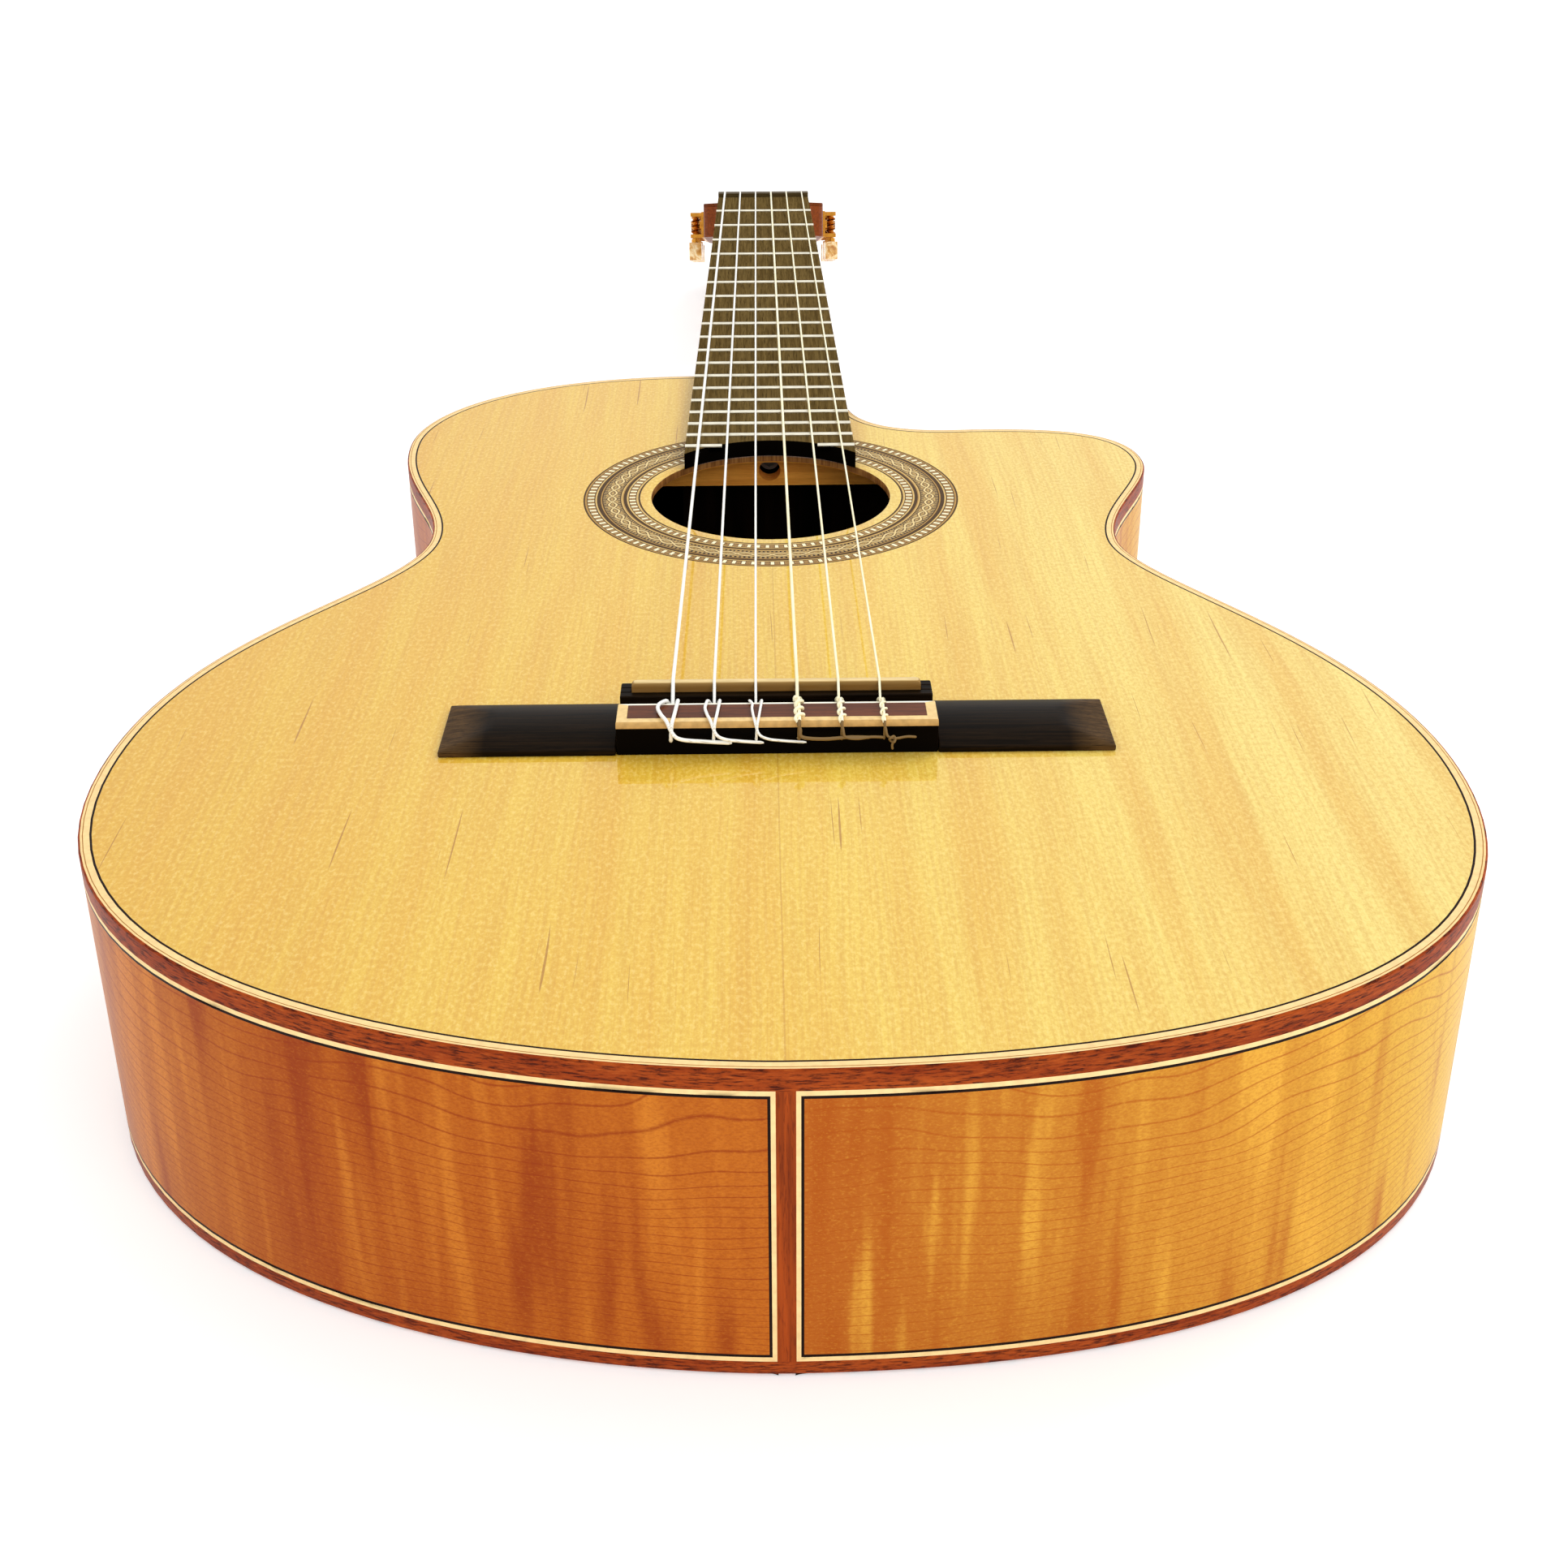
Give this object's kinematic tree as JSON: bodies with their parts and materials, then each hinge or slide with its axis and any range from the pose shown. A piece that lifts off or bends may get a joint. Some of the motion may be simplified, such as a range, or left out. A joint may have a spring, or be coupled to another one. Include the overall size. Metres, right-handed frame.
{
  "type": "classical guitar",
  "caption": "Cutaway classical guitar: flat-backed figure-eight body with soundhole and rosette, fretted neck, tie-block bridge, slotted head with worm-geared tuning machines.",
  "frame": {"origin": "on the plane of the back, under the middle of the guitar's overall length and width", "axes": "+Z out of the soundboard, +Y from the tail to the head, +X to the treble side with the cutaway"},
  "size_m": [0.376, 1.01, 0.1003],
  "materials": {
    "spruce_top": "gloss",
    "maple": "gloss",
    "mahogany": "gloss",
    "purfling": "gloss",
    "rosette": "gloss",
    "cedar": "matte",
    "brace_wood": "matte",
    "neck_wood": "satin",
    "rosewood": "satin",
    "ebony": "satin",
    "bridge_wood": "satin",
    "tie_inlay": "satin",
    "bone": "satin",
    "fret_wire": "polished",
    "gold_brass": "polished",
    "steel": "machined",
    "roller_plastic": "satin",
    "pearl_button": "pearl",
    "wound_string": "wound",
    "nylon_string": "clear"
  },
  "bodies": {
    "root": {"soundboard": "spruce_top", "rosette": "rosette", "back_plates": "maple", "back_centre_strip": "mahogany", "rib_bass": "maple", "rib_treble": "maple", "top_binding": "mahogany", "top_purfling": "purfling", "back_binding": "mahogany", "side_purfling": "purfling", "tail_graft": "mahogany", "linings": "cedar", "tail_block": "cedar", "neck_block": "cedar", "top_bracing": "brace_wood", "back_braces": "brace_wood", "neck": "neck_wood", "headstock": "neck_wood", "head_veneer": "rosewood", "heel_cap": "rosewood", "fingerboard": "ebony", "frets": "fret_wire", "nut": "bone", "bridge": "bridge_wood", "saddle": "bone", "tie_block_inlay": "tie_inlay", "tuner_plates": "gold_brass", "plate_screws": "gold_brass", "truss_rod": "steel", "string_e_low": "wound_string", "string_a": "wound_string", "string_d": "wound_string", "string_g": "nylon_string", "string_b": "nylon_string", "string_e_high": "nylon_string"},
    "truss_nut": {"truss_rod_nut": "steel"},
    "post_1": {"roller_1": "roller_plastic", "gear_1": "gold_brass"},
    "button_1": {"worm_1": "gold_brass", "knob_1": "pearl_button"},
    "post_2": {"roller_2": "roller_plastic", "gear_2": "gold_brass"},
    "button_2": {"worm_2": "gold_brass", "knob_2": "pearl_button"},
    "post_3": {"roller_3": "roller_plastic", "gear_3": "gold_brass"},
    "button_3": {"worm_3": "gold_brass", "knob_3": "pearl_button"},
    "post_4": {"roller_4": "roller_plastic", "gear_4": "gold_brass"},
    "button_4": {"worm_4": "gold_brass", "knob_4": "pearl_button"},
    "post_5": {"roller_5": "roller_plastic", "gear_5": "gold_brass"},
    "button_5": {"worm_5": "gold_brass", "knob_5": "pearl_button"},
    "post_6": {"roller_6": "roller_plastic", "gear_6": "gold_brass"},
    "button_6": {"worm_6": "gold_brass", "knob_6": "pearl_button"}
  },
  "joints": [
    {"name": "post_1_spin", "type": "hinge", "parent": "root", "child": "post_1", "pos_m": [-0.0175, 0.36534, 0.06628], "axis": [1, 0, 0], "continuous": true},
    {"name": "button_1_turn", "type": "hinge", "parent": "root", "child": "button_1", "pos_m": [-0.0405, 0.35713, 0.06847], "axis": [0, 0.2588, 0.9659], "continuous": true},
    {"name": "post_2_spin", "type": "hinge", "parent": "root", "child": "post_2", "pos_m": [-0.0175, 0.39914, 0.05722], "axis": [1, 0, 0], "continuous": true},
    {"name": "button_2_turn", "type": "hinge", "parent": "root", "child": "button_2", "pos_m": [-0.0405, 0.39093, 0.05942], "axis": [0, 0.2588, 0.9659], "continuous": true},
    {"name": "post_3_spin", "type": "hinge", "parent": "root", "child": "post_3", "pos_m": [-0.0175, 0.43295, 0.04816], "axis": [1, 0, 0], "continuous": true},
    {"name": "button_3_turn", "type": "hinge", "parent": "root", "child": "button_3", "pos_m": [-0.0405, 0.42474, 0.05036], "axis": [0, 0.2588, 0.9659], "continuous": true},
    {"name": "post_4_spin", "type": "hinge", "parent": "root", "child": "post_4", "pos_m": [0.0175, 0.43295, 0.04816], "axis": [1, 0, 0], "continuous": true},
    {"name": "button_4_turn", "type": "hinge", "parent": "root", "child": "button_4", "pos_m": [0.0405, 0.42474, 0.05036], "axis": [0, 0.2588, 0.9659], "continuous": true},
    {"name": "post_5_spin", "type": "hinge", "parent": "root", "child": "post_5", "pos_m": [0.0175, 0.39914, 0.05722], "axis": [1, 0, 0], "continuous": true},
    {"name": "button_5_turn", "type": "hinge", "parent": "root", "child": "button_5", "pos_m": [0.0405, 0.39093, 0.05942], "axis": [0, 0.2588, 0.9659], "continuous": true},
    {"name": "post_6_spin", "type": "hinge", "parent": "root", "child": "post_6", "pos_m": [0.0175, 0.36534, 0.06628], "axis": [1, 0, 0], "continuous": true},
    {"name": "button_6_turn", "type": "hinge", "parent": "root", "child": "button_6", "pos_m": [0.0405, 0.35713, 0.06847], "axis": [0, 0.2588, 0.9659], "continuous": true},
    {"name": "truss_nut_turn", "type": "hinge", "parent": "root", "child": "truss_nut", "pos_m": [0, -0.079, 0.0782], "axis": [0, 1, 0], "range_deg": [-180, 180]}
  ],
  "couplings": [
    {"joint": "post_1_spin", "follows": "button_1_turn", "ratio": 0.071429},
    {"joint": "post_2_spin", "follows": "button_2_turn", "ratio": 0.071429},
    {"joint": "post_3_spin", "follows": "button_3_turn", "ratio": 0.071429},
    {"joint": "post_4_spin", "follows": "button_4_turn", "ratio": 0.071429},
    {"joint": "post_5_spin", "follows": "button_5_turn", "ratio": 0.071429},
    {"joint": "post_6_spin", "follows": "button_6_turn", "ratio": 0.071429}
  ]
}
